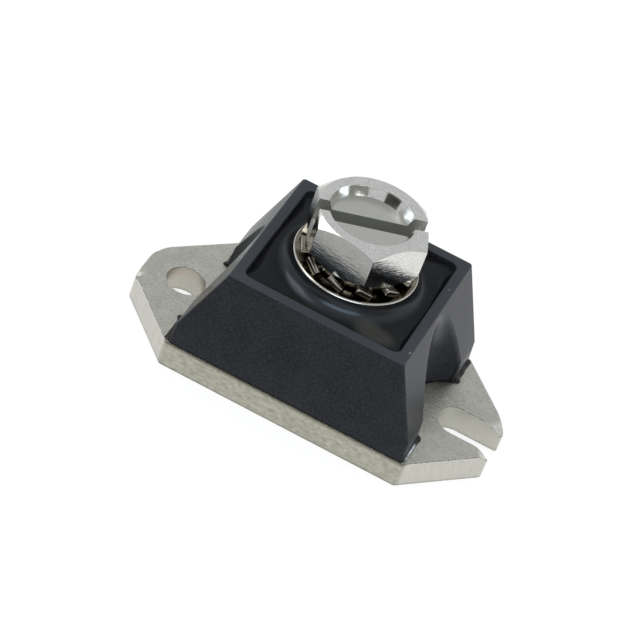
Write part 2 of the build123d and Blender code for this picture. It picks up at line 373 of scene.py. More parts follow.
def sharp_edge_mask(finish, radius):
    """1 along sharp edges, as wide as the radius, and 0 on open faces."""
    rounded = node(finish, "Bevel", 0, {"samples": 6}, Radius=radius)
    turn = node(finish, "VectorMath", 1, {"operation": "DOT_PRODUCT"},
                _0=rounded, _1=node(finish, "NewGeometry", 1))
    return spread(finish, turn, 0.99, 0.93)


satin = new_finish("nickel_satin", Metallic=1.0)
cloudy = speckle(satin, 1.6 * mm, 6.0, 0.65)
grit = speckle(satin, 0.16 * mm, 4.0, 0.7)
blotches = speckle(satin, 0.3 * mm, 6.0, 0.75, place(satin, stretch=(0.5, 1, 1)))
drawn = speckle(satin, 0.25 * mm, 4.0, 0.6, place(satin, stretch=(1, 1, 0.12)))
here = place(satin)
height = along(satin, "Z", here)
from_middle = reckon(satin, "ABSOLUTE", along(satin, "Y", here))

top_tone = tint(satin, spread(satin, cloudy, 0.3, 0.7), (0.48, 0.477, 0.415, 1),
                (0.58, 0.575, 0.51, 1))
top_tone = tint(satin, spread(satin, grit, 0.5, 0.68, 0.0, 0.6), top_tone, (0.22, 0.215, 0.17, 1))
top_tone = tint(satin, spread(satin, grit, 0.47, 0.32, 0.0, 0.45), top_tone, (0.62, 0.615, 0.56, 1))
worn_place = distance_from(satin, (12 * mm, 0.8 * mm, plate_thickness))
scratches = speckle(satin, 0.3 * mm, 4.0, 0.6, place(satin, stretch=(0.5, 3, 1)))
# Near the scallop: dark scratches, darkened further as painted shade from the housing.
dark_scratches_and_shade = overlap(satin, spread(satin, scratches, 0.5, 0.62, 0.0, 0.3),
                        spread(satin, worn_place, 4.5 * mm, 1.5 * mm))
top_tone = tint(satin, dark_scratches_and_shade, top_tone, (0.15, 0.145, 0.12, 1))
bright_scratches = overlap(satin, spread(satin, scratches, 0.42, 0.36, 0.0, 0.8),
                           spread(satin, worn_place, 3.5 * mm, 2.0 * mm))
top_tone = tint(satin, bright_scratches, top_tone, (0.8, 0.79, 0.74, 1))
plate_lean = lean(satin)
# Painted highlight: the drooped tips at the right end are painted light, in streaks.
painted_tip_highlight = overlap(satin, spread(satin, plate_lean, 0.96, 0.9, 0.0, 0.8),
                     spread(satin, scratches, 0.35, 0.55, 0.3, 1.0),
                     spread(satin, along(satin, "X", here), 0.0, 1.0 * mm))
top_tone = tint(satin, painted_tip_highlight, top_tone, (0.85, 0.84, 0.78, 1))

taper_tone = tint(satin, spread(satin, drawn, 0.3, 0.7), (0.53, 0.52, 0.46, 1),
                  (0.6, 0.585, 0.54, 1))
taper_tone = tint(satin, spread(satin, blotches, 0.5, 0.75, 0.0, 0.5), taper_tone,
                  (0.36, 0.355, 0.29, 1))
# The long sides are mottled, and are also painted darker than the tapers as painted shade.
side_mottle_and_shade = tint(satin, spread(satin, blotches, 0.35, 0.65), (0.3, 0.295, 0.24, 1),
                 (0.49, 0.48, 0.41, 1))
on_long_side = spread(satin, from_middle, plate_high.y - 0.4 * mm, plate_high.y - 0.2 * mm)
wall_tone = tint(satin, on_long_side, taper_tone, side_mottle_and_shade)
slot_tone = tint(satin, spread(satin, cloudy, 0.3, 0.7), (0.44, 0.438, 0.38, 1),
                 (0.53, 0.525, 0.465, 1))
in_slot = spread(satin, from_middle, hole_radius + 0.15 * mm, hole_radius + 0.05 * mm)
wall_tone = tint(satin, in_slot, wall_tone, slot_tone)
torn_band = spread(satin, height, 0.3 * mm, 0.15 * mm, 0.0, 0.4)
wall_tone = tint(satin, torn_band, wall_tone, (0.16, 0.155, 0.13, 1))
# Painted shadow: a dark brown band along the top of each long side, under the housing.
housing_shadow_band = overlap(satin, spread(satin, height, plate_thickness - 0.45 * mm, plate_thickness),
                        spread(satin, from_middle, plate_high.y - 0.4 * mm, plate_high.y - 0.2 * mm,
                               0.0, 0.9))
wall_tone = tint(satin, housing_shadow_band, wall_tone, (0.1, 0.09, 0.06, 1))
plate_tone = tint(satin, facing_up(satin), wall_tone, top_tone)
rubbed = overlap(satin, sharp_edge_mask(satin, 0.3 * mm), spread(satin, grit, 0.48, 0.56),
                 spread(satin, from_middle, plate_high.y - 0.4 * mm, plate_high.y - 0.8 * mm, 0.0,
                        0.8))
plate_tone = tint(satin, rubbed, plate_tone, (0.85, 0.84, 0.78, 1))
# A dark, rough line along the top edges: on sharp edges and on the mid-slopes of the rolled edges.
roll = overlap(satin, spread(satin, plate_lean, 0.86, 0.78), spread(satin, plate_lean, 0.05, 0.15),
               spread(satin, height, plate_thickness - 0.1 * mm, plate_thickness - 0.06 * mm))
dark_edge_line = reckon(satin, "MAXIMUM", sharp_edge_mask(satin, 0.12 * mm), roll)
dark_edge_line = overlap(satin, dark_edge_line, spread(satin, grit, 0.58, 0.5, 0.3, 1.0))
plate_tone = tint(satin, dark_edge_line, plate_tone, (0.12, 0.11, 0.08, 1))
from_axis = distance_from(satin, (hole_x, 0, 0), (1, 1, 0))
hole_wall = spread(satin, from_axis, hole_radius + 0.12 * mm, hole_radius + 0.02 * mm)
copper_show = overlap(satin, hole_wall, spread(satin, cloudy, 0.4, 0.7, 0.0, 0.4))
plate_tone = tint(satin, copper_show, plate_tone, (0.58, 0.44, 0.35, 1))
plate_gloss = spread(satin, cloudy, 0.3, 0.7, 0.26, 0.38)
plate_gloss = reckon(satin, "ADD", plate_gloss,
                     spread(satin, worn_place, 5.0 * mm, 2.5 * mm, 0.0, 0.18))
plate_gloss = blend(satin, dark_edge_line, plate_gloss, 0.85)
plate_relief = reckon(satin, "MULTIPLY_ADD", grit, 0.9, cloudy)
link_shader(satin, Base_Color=plate_tone, Roughness=plate_gloss,
            Normal=relief(satin, 0.4, 0.03 * mm, plate_relief))
plate.data.materials.append(satin)
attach(plate, "root")
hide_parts("baseplate")

# ---------------------------------------------------------------- housing
# One moulded wall in black plastic, open at top and bottom and glued to the baseplate.
# Its ends slant in from an upright foot, and a scallop in each end leaves room for a
# mounting screw's head. The mould's parting edges are softly rounded.
shell_low, shell_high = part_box("housing")
foot_height = 2.45 * mm
foot_lean = 0.15 * mm
kink_z = shell_low.z + foot_height
kink_x = shell_high.x - foot_lean
rim_x = 9.35 * mm
cavity_x = 8.3 * mm
cavity_y = 8.1 * mm
cavity_corner = 0.8 * mm
scallop_radius = 5.5 * mm
scallop_lip = 0.42 * mm
shell_corner = 0.28 * mm
rim_round = 0.14 * mm

shell = add_block("moulded_housing", shell_low, (shell_high.x, shell_high.y, kink_z))
open_for_edit(shell)
pick("faces", lambda face: face.normal.z > 0.9)
squeeze((kink_x / shell_high.x, 1, 1))
pull_out(0, 0, shell_high.z - kink_z)
squeeze((rim_x / kink_x, 1, 1))
pick("faces", lambda face: abs(face.normal.y) > 0.9)
merge_flats()
pick("edges", lambda edge: abs(edge.verts[0].co.z - edge.verts[1].co.z) > mm)
round_off(shell_corner, 5)
close_edit()

cavity_core = add_block(
    "core", (-cavity_x, -cavity_y, shell_low.z - mm), (cavity_x, cavity_y, shell_high.z + mm)
)
open_for_edit(cavity_core)
pick("edges", upright)
round_off(cavity_corner, 8)
close_edit()
combine(shell, cavity_core)
for scallop_x in (hole_x, slot_x):
    scallop_core = add_round_bar(
        "core", scallop_radius, shell_low.z - mm, shell_high.z + mm, scallop_x, facets=128
    )
    combine(shell, scallop_core)


def from_scallop_axis(point):
    """Distance from the nearer mounting hole's centre line."""
    return Vector((abs(point.x) - slot_x, point.y)).length


def scallop_edge(edge):
    """True for the edges in which a scallop meets the slanted end, its foot and the side."""
    on_cylinder = all(abs(from_scallop_axis(corner.co) - scallop_radius) < 0.02 * mm
                      for corner in edge.verts)
    walls = [face for face in edge.link_faces if abs(face.normal.z) < 0.05
             and Vector((face.normal.x, face.normal.y)).dot(
                 Vector((abs(middle(face).x) - slot_x, middle(face).y))) < -4.5 * mm]
    return on_cylinder and len(walls) == 1 and middle(edge).z > shell_low.z + 0.01 * mm


open_for_edit(shell)
pick("edges", scallop_edge)
round_off(scallop_lip, 5)
pick("edges", lambda edge: rim_edge(edge, 1) or (
    middle(edge).z > shell_high.z - 0.01 * mm
    and any(face.normal.z < 0.8 for face in edge.link_faces)))
round_off(rim_round, 4)
close_edit()
shade_crisp(shell, 30)

plastic = new_finish("black_plastic", Specular_IOR_Level=0.1, Sheen_Roughness=0.3)
moulded = speckle(plastic, 0.3 * mm, 4.0, 0.75)
flow = speckle(plastic, 3.5 * mm, 5.0, 0.6, distortion=0.6)
plastic_tone = tint(plastic, spread(plastic, flow, 0.3, 0.7), (0.008, 0.0085, 0.0105, 1),
                    (0.0125, 0.0132, 0.016, 1))
plastic_tone = tint(plastic, spread(plastic, moulded, 0.45, 0.7, 0.0, 0.5), plastic_tone,
                    (0.034, 0.036, 0.04, 1))
# Painted highlight: faces that look up, such as the rim's top, are painted lighter than the walls.
plastic_tone = tint(plastic, facing_up(plastic), plastic_tone, (0.026, 0.029, 0.034, 1))
plastic_tone = tint(plastic, sharp_edge_mask(plastic, 0.12 * mm), plastic_tone, (0.004, 0.004, 0.005, 1))
for nick_x, nick_y, nick_size in ((9.17, -7.21, 0.1), (8.87, 3.96, 0.06), (-4.4, -9.3, 0.06)):
    nick = distance_from(plastic, (nick_x * mm, nick_y * mm, shell_high.z), (1, 0.5, 1))
    nick = overlap(plastic, spread(plastic, nick, nick_size * mm, 0.5 * nick_size * mm),
                   spread(plastic, moulded, 0.4, 0.5))
    plastic_tone = tint(plastic, nick, plastic_tone, (0.2, 0.205, 0.21, 1))
end_lean = reckon(plastic, "ABSOLUTE", lean(plastic, "X"))
plastic_gloss = spread(plastic, flow, 0.3, 0.7, 0.34, 0.42)
plastic_gloss = overlap(plastic, plastic_gloss, spread(plastic, end_lean, 0.8, 0.9, 1.0, 0.65))
plastic_relief = reckon(plastic, "MULTIPLY_ADD", flow, 1.5, moulded)
link_shader(plastic, Base_Color=plastic_tone, Roughness=plastic_gloss,
            Sheen_Weight=spread(plastic, end_lean, 0.7, 0.85, 0.12, 0.03),
            Normal=relief(plastic, 0.5, 0.02 * mm, plastic_relief))
shell.data.materials.append(plastic)
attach(shell, "root")
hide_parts("housing")

# ---------------------------------------------------------------- glue line
# Black glue between the housing and the baseplate, a tenth of a millimetre thick. When the
# housing was pressed down, glue came out in front of its four feet and set there as
# uneven, glossy beads, thickest where each foot ends at its scallop.
glue_low, glue_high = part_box("adhesive_bead")
bead_steps = 26

glue = add_block("glue_line", (-kink_x, shell_low.y + 0.1 * mm, glue_low.z),
                 (kink_x, shell_high.y - 0.1 * mm, shell_low.z))
combine(glue, add_block("core", (-cavity_x, -cavity_y, 0), (cavity_x, cavity_y, glue_high.z)))
for scallop_x in (hole_x, slot_x):
    scallop_core = add_round_bar("core", scallop_radius - 0.12 * mm, 0, glue_high.z, scallop_x)
    combine(glue, scallop_core)

lumps = bpy.data.textures.new("glue_lumps", "CLOUDS")
lumps.noise_scale = 0.9 * mm
lumps.noise_depth = 2
beads = []
for end, side, bead_start, bead_end, bead_width in (
    (-1, -1, 5.0 * mm, 9.0 * mm, 0.62 * mm),
    (-1, 1, 4.9 * mm, 7.6 * mm, 0.36 * mm),
    (1, -1, 4.75 * mm, 8.9 * mm, 0.3 * mm),
    (1, 1, 5.1 * mm, 9.1 * mm, 0.36 * mm),
):
    bead_height = min(bead_width, 0.26 * mm)
    bpy.ops.mesh.primitive_cylinder_add(
        vertices=20,
        radius=bead_width,
        depth=bead_end - bead_start,
        location=(end * shell_high.x, side * (bead_start + bead_end) / 2, glue_low.z),
        rotation=(pi / 2, 0, 0),
    )
    bead = settle("glue_bead")
    open_for_edit(bead)
    pick_all()
    squeeze((1, 1, bead_height / bead_width), (0, 0, glue_low.z))
    for step in range(1, bead_steps):
        cut_y = side * (bead_start + (bead_end - bead_start) * step / bead_steps)
        pick_all()
        slice_at((0, cut_y, 0), (0, 1, 0))
    for step, swell in ((0, 0.9), (1, 1.3), (2, 1.4), (3, 1.3), (4, 1.15), (bead_steps, 0.7)):
        ring_y = side * (bead_start + (bead_end - bead_start) * step / bead_steps)
        pick("verts", lambda corner: abs(corner.co.y - ring_y) < 0.01 * mm)
        squeeze((swell, 1, swell), (end * shell_high.x, ring_y, glue_low.z))
    close_edit()
    apply_modifier(bead, "DISPLACE", texture=lumps, strength=0.16 * mm, mid_level=0.5,
                   texture_coords="GLOBAL")
    open_for_edit(bead)
    pick_all()
    slice_at((0, 0, glue_low.z), (0, 0, 1), use_fill=True, clear_inner=True)
    pick_all()
    slice_at((end * kink_x, 0, 0), (end, 0, 0), use_fill=True, clear_inner=True)
    close_edit()
    beads.append(bead)
choose(*beads, glue)
bpy.ops.object.join()
bpy.ops.object.shade_smooth_by_angle(angle=radians(50))

black_glue = new_finish("black_glue", Specular_IOR_Level=0.3)
skin = speckle(black_glue, 0.5 * mm, 4.0, 0.55)
glue_tone = tint(black_glue, skin, (0.003, 0.003, 0.003, 1), (0.009, 0.009, 0.009, 1))
# Painted highlight: a pale bluish streak on the bead in front of the near right foot.
from_glint = place(black_glue, (shell_high.x + 0.17 * mm, -7.5 * mm, 0))
glint_aside = reckon(black_glue, "ABSOLUTE", along(black_glue, "X", from_glint))
glint_along = reckon(black_glue, "ABSOLUTE", along(black_glue, "Y", from_glint))
painted_glint = overlap(black_glue, spread(black_glue, glint_aside, 0.12 * mm, 0.05 * mm),
                spread(black_glue, glint_along, 1.5 * mm, 1.1 * mm),
                spread(black_glue, skin, 0.35, 0.55, 0.3, 1.0))
link_shader(black_glue, Base_Color=tint(black_glue, painted_glint, glue_tone, (0.42, 0.43, 0.46, 1)),
            Roughness=spread(black_glue, skin, 0.3, 0.7, 0.15, 0.3),
            Normal=relief(black_glue, 0.4, 0.05 * mm, skin))
glue.data.materials.append(black_glue)
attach(glue, "root")
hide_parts("adhesive_bead")

# ---------------------------------------------------------------- die stack and gel
# Inside, from the baseplate up: solder, a molybdenum disc, solder, the silicon die,
# solder, a smaller disc, solder and the folded copper lead, all under clear soft gel.
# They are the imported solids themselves, finished as what they are.


def finish_packed(name, finish):
    """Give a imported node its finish, through its object's material slot."""
    frame["nodes"][name].material_slots[0].material = finish


solder = new_finish("solder", Metallic=1.0)
frost = speckle(solder, 0.3 * mm, 5.0, 0.6)
link_shader(solder, Base_Color=tint(solder, frost, (0.42, 0.42, 0.44, 1), (0.62, 0.62, 0.64, 1)),
            Roughness=spread(solder, frost, 0.3, 0.7, 0.35, 0.55),
            Normal=relief(solder, 0.4, 0.02 * mm, frost))
molybdenum = new_finish("molybdenum", Metallic=1.0)
lapping = speckle(molybdenum, 0.12 * mm, 4.0, 0.7, place(molybdenum, stretch=(1, 0.15, 1)))
link_shader(molybdenum,
            Base_Color=tint(molybdenum, lapping, (0.4, 0.4, 0.43, 1), (0.52, 0.52, 0.55, 1)),
            Roughness=spread(molybdenum, lapping, 0.3, 0.7, 0.28, 0.42),
            Normal=relief(molybdenum, 0.25, 0.01 * mm, lapping))
silicon = new_finish("silicon", Metallic=0.8)
oxide = speckle(silicon, 1.2 * mm, 2.0, 0.5)
link_shader(silicon, Base_Color=tint(silicon, oxide, (0.16, 0.17, 0.23, 1), (0.24, 0.23, 0.3, 1)),
            Roughness=spread(silicon, oxide, 0.3, 0.7, 0.1, 0.2))
copper = new_finish("copper", Metallic=1.0)
rolling = speckle(copper, 0.2 * mm, 4.0, 0.6, place(copper, stretch=(0.1, 1, 1)))
link_shader(copper, Base_Color=tint(copper, rolling, (0.64, 0.33, 0.21, 1), (0.8, 0.47, 0.33, 1)),
            Roughness=spread(copper, rolling, 0.3, 0.7, 0.25, 0.4),
            Normal=relief(copper, 0.25, 0.01 * mm, rolling))
clear_gel = new_finish("clear_gel", Transmission_Weight=0.85, IOR=1.41, Roughness=0.08)
haze = speckle(clear_gel, 2.0 * mm, 3.0, 0.5)
link_shader(clear_gel, Base_Color=tint(clear_gel, haze, (0.8, 0.83, 0.82, 1), (0.9, 0.91, 0.9, 1)))
for name in ("base_solder", "die_solder", "top_solder", "lead_solder"):
    finish_packed(name, solder)
for name in ("lower_buffer_disc", "upper_buffer_disc"):
    finish_packed(name, molybdenum)
finish_packed("schottky_die", silicon)
finish_packed("flex_lead", copper)
finish_packed("silicone_gel", clear_gel)

# ---------------------------------------------------------------- terminal post
# Turned from bar and nickel plated. Two grooves round it and a pair of flats at its foot
# key it into the epoxy, its upper edge is chamfered, and a blind tapped bore down its
# middle takes the screw.
post_low, post_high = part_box("terminal_post")
post_radius = post_high.x
post_edge = 0.12 * mm
post_edge_round = 0.04 * mm
post_facets = 128
groove_width = 1.1 * mm
groove_depth = 0.7 * mm
flat_height = 1.6 * mm
epoxy_level = shell_high.z - 0.55 * mm
groove_pitch = (epoxy_level - post_low.z - flat_height) / 2.5
flat_depth = 0.8 * mm
bore_radius = 3.2 * mm
bore_floor = 8.0 * mm
bore_mouth = 0.3 * mm
bore_point = 0.3 * mm


def draw_profile(name, corners):
    """An open chain of edges drawn from (radius, height) pairs, left open for editing."""
    bpy.ops.mesh.primitive_plane_add(size=mm)
    line = bpy.context.object
    line.name = name
    bpy.ops.object.mode_set(mode="EDIT")
    bpy.ops.mesh.select_mode(type="VERT")
    pick_all()
    bpy.ops.mesh.merge(type="CENTER")
    pen = Vector((corners[0][0], 0, corners[0][1]))
    bpy.ops.transform.translate(value=pen)
    for radius, height in corners[1:]:
        stroke = Vector((radius, 0, height)) - pen
        pull_out(*stroke)
        pen += stroke
    return line


def seal():
    """Weld the open piece's seams, and turn its faces outward."""
    pick_all()
    bpy.ops.mesh.remove_doubles(threshold=1e-6)
    bpy.ops.mesh.normals_make_consistent(inside=False)


def turn_profile(facets=post_facets):
    """Spin the open profile about the part's middle line, and close its seam and poles."""
    pick_all()
    bpy.ops.mesh.spin(steps=facets, angle=2 * pi, center=(0, 0, 0), axis=(0, 0, 1))
    seal()


def arc_corners(centre, reach, rise, first, last, steps):
    """(radius, height) pairs along an elliptical arc, between two angles in degrees."""
    angles = [radians(first + (last - first) * step / steps) for step in range(steps + 1)]
    return [(centre[0] + reach * cos(angle), centre[1] + rise * sin(angle)) for angle in angles]


keyed_wall = []
for groove in (0.5, 1.5):
    foot = post_low.z + flat_height + groove_pitch * groove
    keyed_wall += [
        (post_radius, foot),
        (post_radius - groove_depth, foot),
        (post_radius - groove_depth, foot + groove_width),
        (post_radius, foot + groove_width),
    ]
post = draw_profile("turned_post", [
    (0, post_low.z),
    (post_radius, post_low.z),
    *keyed_wall,
    (post_radius, post_high.z - post_edge),
    (post_radius - post_edge, post_high.z),
    (bore_radius + bore_mouth, post_high.z),
    (bore_radius, post_high.z - bore_mouth),
    (bore_radius, bore_floor),
    (0, bore_floor - bore_point),
])
turn_profile()


def ring_edge(edge, radius, height):
    """True for an edge that runs round the middle line at that radius and height."""
    return all(abs(Vector(corner.co.xy).length - radius) < 0.01 * mm
               and abs(corner.co.z - height) < 0.01 * mm for corner in edge.verts)


pick("edges", lambda edge: ring_edge(edge, post_radius, post_high.z - post_edge)
     or ring_edge(edge, post_radius - post_edge, post_high.z))
round_off(post_edge_round, 3)
close_edit()
for side in (-1, 1):
    flat_cutter = add_block(
        "cutter",
        (-post_radius, min(side * (post_radius - flat_depth), side * post_radius * 1.1),
         post_low.z - mm),
        (post_radius, max(side * (post_radius - flat_depth), side * post_radius * 1.1),
         post_low.z + flat_height),
    )
    combine(post, flat_cutter)
shade_crisp(post, 30)

bright = new_finish("nickel_bright", Metallic=1.0)
plating = speckle(bright, 1.1 * mm, 5.0, 0.6)
fine_marks = speckle(bright, 0.1 * mm, 3.0, 0.6)
brown_mottle = speckle(bright, 0.5 * mm, 6.0, 0.7)
# Faces that look up, such as the top face round the washer, are dark brown.
up_face_tone = tint(bright, spread(bright, brown_mottle, 0.35, 0.7), (0.1, 0.085, 0.06, 1),
                    (0.34, 0.31, 0.25, 1))
bright_tone = tint(bright, spread(bright, plating, 0.3, 0.7), (0.8, 0.79, 0.74, 1),
                   (0.92, 0.91, 0.87, 1))
link_shader(bright, Base_Color=tint(bright, facing_up(bright), bright_tone, up_face_tone),
            Roughness=spread(bright, plating, 0.3, 0.7, 0.12, 0.2),
            Normal=relief(bright, 0.12, 0.01 * mm,
                          reckon(bright, "MULTIPLY_ADD", fine_marks, 0.5, plating)))
post.data.materials.append(bright)
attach(post, "root")
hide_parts("terminal_post")

# ---------------------------------------------------------------- epoxy
# Black epoxy, poured over the gel to half a millimetre below the rim and set to a gloss. It
# wets the post and climbs it almost to the chamfer, in a steep skirt that runs out flat
# close to the walls. The lead's upper folds are cast into it.
epoxy_low, epoxy_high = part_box("epoxy_fill")
skirt_reach = 1.68 * mm
skirt_rise = epoxy_high.z - epoxy_level
skirt_steps = 16
wall_cuts = 23

epoxy = draw_profile("cast_epoxy", [
    (0, post_low.z),
    (post_radius, post_low.z),
    *keyed_wall,
    *arc_corners((post_radius + skirt_reach, epoxy_high.z), skirt_reach, skirt_rise,
                 180, 270, skirt_steps),
])
turn_profile()
close_edit()
body = add_block("body", (-cavity_x, -cavity_y, epoxy_low.z), (cavity_x, cavity_y, epoxy_level))
open_for_edit(body)
pick("edges", upright)
round_off(cavity_corner, 8)
pick("edges", lambda edge: abs(middle(edge).z - epoxy_level) < 0.01 * mm
     and (edge.verts[0].co - edge.verts[1].co).length > 2 * mm)
bpy.ops.mesh.subdivide(number_cuts=wall_cuts)
pick("faces", lambda face: face.normal.z > 0.9)
bpy.ops.mesh.delete(type="FACE")
close_edit()
choose(body, epoxy)
bpy.ops.object.join()
open_for_edit(epoxy)
pick("edges", lambda edge: len(edge.link_faces) == 1)
bpy.ops.mesh.bridge_edge_loops()
pick_all()
bpy.ops.mesh.normals_make_consistent(inside=False)
close_edit()
lead_core = frame["nodes"]["flex_lead"].copy()
lead_core.data = lead_core.data.copy()
bpy.context.scene.collection.objects.link(lead_core)
lead_core.parent = None
open_for_edit(lead_core)
pick_all()
bpy.ops.mesh.remove_doubles(threshold=1e-6)
close_edit()
apply_modifier(epoxy, "BOOLEAN", operation="DIFFERENCE", object=lead_core, solver="EXACT")
bpy.data.objects.remove(lead_core)
bpy.ops.object.shade_smooth_by_angle(angle=radians(30))

resin = new_finish("black_epoxy", Specular_Tint=(0.8, 0.9, 1, 1))
flow_out = speckle(resin, 3.0 * mm, 3.0, 0.5)
dust = speckle(resin, 0.15 * mm, 2.0, 0.5)
epoxy_tone = tint(resin, flow_out, (0.005, 0.0052, 0.0058, 1), (0.01, 0.01, 0.0105, 1))
# Painted reflection: a pale grey patch near the front right corner, standing for the screw head
# mirrored in the gloss.
painted_reflection_patch = distance_from(resin, (5.2 * mm, -6.5 * mm, epoxy_level), (0.6, 1, 1))
epoxy_tone = tint(resin, spread(resin, painted_reflection_patch, 1.5 * mm, 0.8 * mm), epoxy_tone,
                  (0.024, 0.024, 0.021, 1))
epoxy_lean = lean(resin)
link_shader(resin, Base_Color=epoxy_tone,
            Specular_IOR_Level=spread(resin, epoxy_lean, 0.95, 0.75, 0.08, 0.42),
            Roughness=spread(resin, flow_out, 0.3, 0.7, 0.2, 0.28),
            Normal=relief(resin, 0.15, 0.02 * mm,
                          reckon(resin, "MULTIPLY_ADD", dust, 0.15, flow_out)))
epoxy.data.materials.clear()
epoxy.data.materials.append(resin)
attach(epoxy, "root")
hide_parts("epoxy_fill")

# ---------------------------------------------------------------- lock washer
# Stamped from spring steel and nickel plated: a flat ring with twelve outer teeth, each
# twisted about its own radial line, so that one corner bites the post and the other
# bites the head. One twelfth is shaped and then repeated round the middle line.
washer_low, washer_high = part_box("lock_washer")
washer_middle = (washer_low.z + washer_high.z) / 2
washer_thickness = 0.6 * mm
washer_bore = 3.35 * mm
washer_ring = 4.7 * mm
washer_tip = 5.83 * mm
tooth_count = 12
tooth_facets = 6
tooth_width = 1.75 * mm
tooth_twist = radians(24)
tooth_twist_length = 0.2 * mm
tooth_phase = radians(-2)
tooth_edge = 0.05 * mm


def turn_by(angle, axis, centre=(0, 0, 0)):
    """Turn the selection clockwise about an axis through a fixed point."""
    bpy.ops.transform.rotate(value=angle, orient_axis=axis, center_override=centre)


ring_centre = ((washer_bore + washer_ring) / 2, 0, washer_middle)
bpy.ops.mesh.primitive_plane_add(size=1, location=ring_centre, rotation=(pi / 2, 0, 0))
washer = settle("toothed_washer")
open_for_edit(washer)
pick_all()
squeeze((washer_ring - washer_bore, 1, washer_thickness), ring_centre)
bpy.ops.mesh.delete(type="ONLY_FACE")
pick_all()
turn_by(-pi / tooth_count, "Z")
bpy.ops.mesh.spin(
    steps=tooth_facets, angle=2 * pi / tooth_count, center=(0, 0, 0), axis=(0, 0, 1)
)
pick_all()
bpy.ops.mesh.normals_make_consistent(inside=False)
root_turn = 2 * pi / tooth_count * (tooth_facets - 2) / tooth_facets / 2
pick("faces", lambda face: middle(face).xy.length > washer_ring - 0.05 * mm
     and abs(atan2(middle(face).y, middle(face).x)) < root_turn)
pull_out(tooth_twist_length, 0, 0)
root_x = washer_ring + tooth_twist_length
root_width = 2 * washer_ring * sin(root_turn)
squeeze((0, tooth_width / root_width, 1), (root_x, 0, washer_middle))
turn_by(tooth_twist, "X", (root_x, 0, washer_middle))
pull_out(washer_tip - root_x, 0, 0)
pick_all()
bpy.ops.mesh.spin(
    steps=tooth_count - 1,
    angle=2 * pi * (tooth_count - 1) / tooth_count,
    center=(0, 0, 0),
    axis=(0, 0, 1),
    dupli=True,
)
seal()
turn_by(-tooth_phase, "Z")
close_edit()
apply_modifier(washer, "BEVEL", width=tooth_edge, segments=2, limit_method="ANGLE",
               angle_limit=radians(35))
shade_crisp(washer, 40)

sprung = new_finish("spring_nickel", Metallic=1.0)
temper = speckle(sprung, 0.7 * mm, 5.0, 0.6)
washer_tone = tint(sprung, spread(sprung, temper, 0.3, 0.7), (0.15, 0.135, 0.105, 1),
                   (0.34, 0.315, 0.265, 1))
# Painted highlight: bright lines along the teeth's edges.
washer_tone = tint(sprung, sharp_edge_mask(sprung, 0.07 * mm), washer_tone, (0.86, 0.85, 0.8, 1))
link_shader(sprung, Base_Color=washer_tone, Roughness=spread(sprung, temper, 0.3, 0.7, 0.12, 0.24),
            Normal=relief(sprung, 0.2, 0.01 * mm, temper))
washer.data.materials.append(sprung)
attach(washer, "root")
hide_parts("lock_washer")

# ---------------------------------------------------------------- terminal screw
# Cold-headed steel, nickel plated: a hex head with trimmed corners, a shallow dish in its
# top and a driver slot right across it, on a shank with a coarse inch thread of twenty
# turns to the inch.
screw_low, screw_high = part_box("terminal_screw")
head_bottom = washer_high.z
head_top = screw_high.z
across_flats = 10.8 * mm
head_corner = across_flats / sqrt(3)
head_turn = radians(-6.2)
bearing_radius = 5.3 * mm
lower_trim = 0.8 * mm
top_radius = 5.42 * mm
upper_trim = 0.65 * mm
flat_draft = 0.6 * mm
trim_radius = head_corner + 0.3 * mm
dish_radius = 4.3 * mm
dish_depth = 1.03 * mm
dish_lean = 0.46 * mm
dish_centre = Vector((-0.1 * mm, -0.15 * mm, 0))
slot_width = 1.55 * mm
slot_depth = 2.4 * mm
slot_turn = radians(24)
head_edge = 0.05 * mm
head_relief_depth = 0.03 * mm
thread_pitch = 1.27 * mm
thread_radius = 3.15 * mm
thread_depth = 0.7 * mm
thread_flat = 0.16 * mm
tip_trim = 0.6 * mm

bpy.ops.mesh.primitive_cylinder_add(
    vertices=6,
    radius=head_corner,
    depth=head_top - head_bottom,
    location=(0, 0, (head_bottom + head_top) / 2),
    rotation=(0, 0, head_turn - pi / 6),
)
screw = settle("slotted_screw")
lower_slope = lower_trim / (head_corner - bearing_radius)
upper_slope = upper_trim / (head_corner - top_radius)
trim = draw_profile("trim", [
    (0, head_bottom),
    (bearing_radius, head_bottom),
    (trim_radius, head_bottom + (trim_radius - bearing_radius) * lower_slope),
    (trim_radius, head_top - (trim_radius - top_radius) * upper_slope),
    (top_radius, head_top),
    (0, head_top),
])
turn_profile()
close_edit()
combine(screw, trim, "INTERSECT")
dish_floor = head_top - dish_depth
dish = draw_profile("dish", [
    (0, dish_floor),
    (dish_radius - dish_lean, dish_floor),
    (dish_radius, head_top),
    (dish_radius, head_top + mm),
    (0, head_top + mm),
])
turn_profile()
pick_all()
bpy.ops.transform.translate(value=dish_centre)
close_edit()
combine(screw, dish)
driver = add_block(
    "driver",
    (-2 * head_corner, -slot_width / 2, head_top - slot_depth),
    (2 * head_corner, slot_width / 2, head_top + mm),
)
open_for_edit(driver)
pick_all()
turn_by(-slot_turn, "Z")
bpy.ops.transform.translate(value=dish_centre)
close_edit()
combine(screw, driver)
apply_modifier(screw, "BEVEL", width=head_edge, segments=3, limit_method="ANGLE",
               angle_limit=radians(28))

